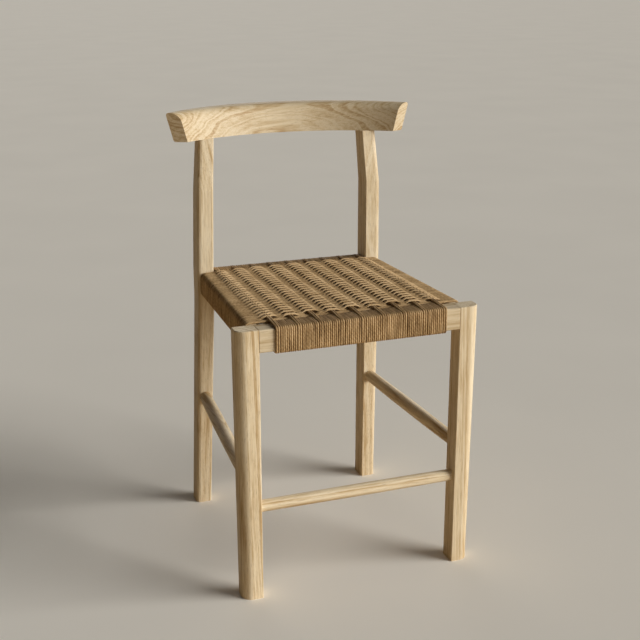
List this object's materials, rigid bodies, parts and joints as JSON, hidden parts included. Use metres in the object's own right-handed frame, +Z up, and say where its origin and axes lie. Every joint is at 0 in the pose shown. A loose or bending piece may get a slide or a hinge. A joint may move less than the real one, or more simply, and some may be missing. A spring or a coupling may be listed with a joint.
{
  "type": "woven counter stool",
  "caption": "Light wooden counter stool with a low back: bent posts carry a curved crest rail above a seat woven from natural cord, with round stretchers as foot rests.",
  "frame": {"origin": "on the floor, under the middle of the outer box", "axes": "+Z up, the stool faces -Y, +X to the right as seen from the front"},
  "size_m": [0.595, 0.5818, 0.995],
  "materials": {
    "wood": "satin clear oil",
    "cord": "matte natural fibre"
  },
  "bodies": {
    "root": {"front_leg_left": "wood", "front_leg_right": "wood", "back_leg_left": "wood", "back_leg_right": "wood", "crest_rail": "wood", "front_seat_rail": "wood", "back_seat_rail": "wood", "side_seat_rail_left": "wood", "side_seat_rail_right": "wood", "front_stretcher": "wood", "side_stretcher_left": "wood", "side_stretcher_right": "wood", "crest_dowels_left": "wood", "crest_dowels_right": "wood", "front_rail_wrap": "cord", "back_rail_wrap": "cord", "side_rail_wrap_left": "cord", "side_rail_wrap_right": "cord", "warp_cords": "cord", "weft_panel": "cord"}
  },
  "joints": []
}
